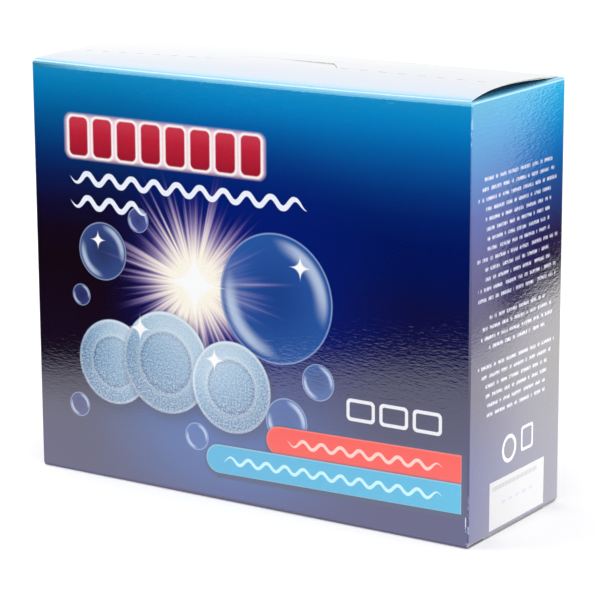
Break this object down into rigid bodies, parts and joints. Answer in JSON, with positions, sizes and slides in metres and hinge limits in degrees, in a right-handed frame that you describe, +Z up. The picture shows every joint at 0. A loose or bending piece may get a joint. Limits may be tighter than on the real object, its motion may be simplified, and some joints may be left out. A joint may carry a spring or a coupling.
{
  "type": "dishwasher tablet carton",
  "caption": "Sealed printed board carton for dishwasher tablets: upright box, glued end flaps, slightly bowed top flap with a perforated tear line and thumb tab.",
  "frame": {"origin": "on the surface that the carton stands on, under the middle of its base", "axes": "+X along the front wall to the right, the front wall faces -Y, +Z up"},
  "size_m": [0.18, 0.063, 0.1534],
  "materials": {
    "printed_board": "glossy coated print, deep blue walls and a near-white top"
  },
  "bodies": {
    "root": {"carton": "printed_board"}
  },
  "joints": []
}
